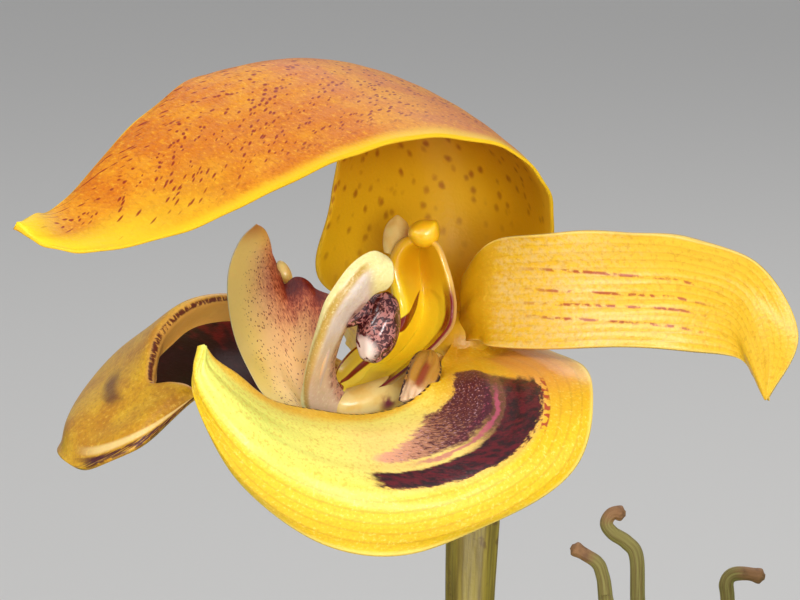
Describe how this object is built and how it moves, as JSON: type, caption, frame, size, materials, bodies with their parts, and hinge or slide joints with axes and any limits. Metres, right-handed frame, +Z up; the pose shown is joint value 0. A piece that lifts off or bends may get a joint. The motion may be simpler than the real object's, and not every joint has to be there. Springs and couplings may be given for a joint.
{
  "type": "potted orchid",
  "caption": "Potted orchid with ridged pseudobulbs that bear leathery leaves, and a large spotted yellow flower held above the foliage in a plain clay pot.",
  "frame": {"origin": "centre of the pot's flat underside", "axes": "+Z up, out of the pot; the flower faces a viewer at -Y, and its long hood points to -X"},
  "size_m": [0.1819, 0.1637, 0.2259],
  "materials": {
    "terracotta": "matte unglazed clay",
    "bark": "rough chopped bark",
    "rhizome": "fibrous, dry",
    "scape": "smooth, slightly waxy",
    "ovary": "smooth, slightly waxy",
    "dorsal_sepal": "fleshy, faintly sparkling",
    "near_sepal": "fleshy, faintly sparkling",
    "far_sepal": "fleshy, faintly sparkling",
    "petal": "thin, satin",
    "column": "waxy",
    "anther_cap": "waxy",
    "lip": "waxy",
    "spent_scape": "dry, papery",
    "pseudobulb": "waxy",
    "leaf": "leathery, semi-gloss"
  },
  "bodies": {
    "root": {"pot": "terracotta", "medium": "bark", "rhizome": "rhizome", "scape": "scape", "ovary": "ovary", "dorsal_sepal": "dorsal_sepal", "lateral_sepal_near": "near_sepal", "lateral_sepal_far": "far_sepal", "petal_near": "petal", "petal_far": "petal", "column": "column", "anther_cap": "anther_cap", "lip": "lip", "spent_scape_1": "spent_scape", "spent_scape_2": "spent_scape", "spent_scape_3": "spent_scape", "pseudobulb_1": "pseudobulb", "pseudobulb_2": "pseudobulb", "pseudobulb_3": "pseudobulb", "pseudobulb_4": "pseudobulb", "pseudobulb_5": "pseudobulb", "pseudobulb_6": "pseudobulb", "pseudobulb_7": "pseudobulb", "leaf_1": "leaf", "leaf_2": "leaf", "leaf_3": "leaf", "leaf_4": "leaf", "leaf_5": "leaf", "leaf_6": "leaf", "leaf_7": "leaf"}
  },
  "joints": []
}
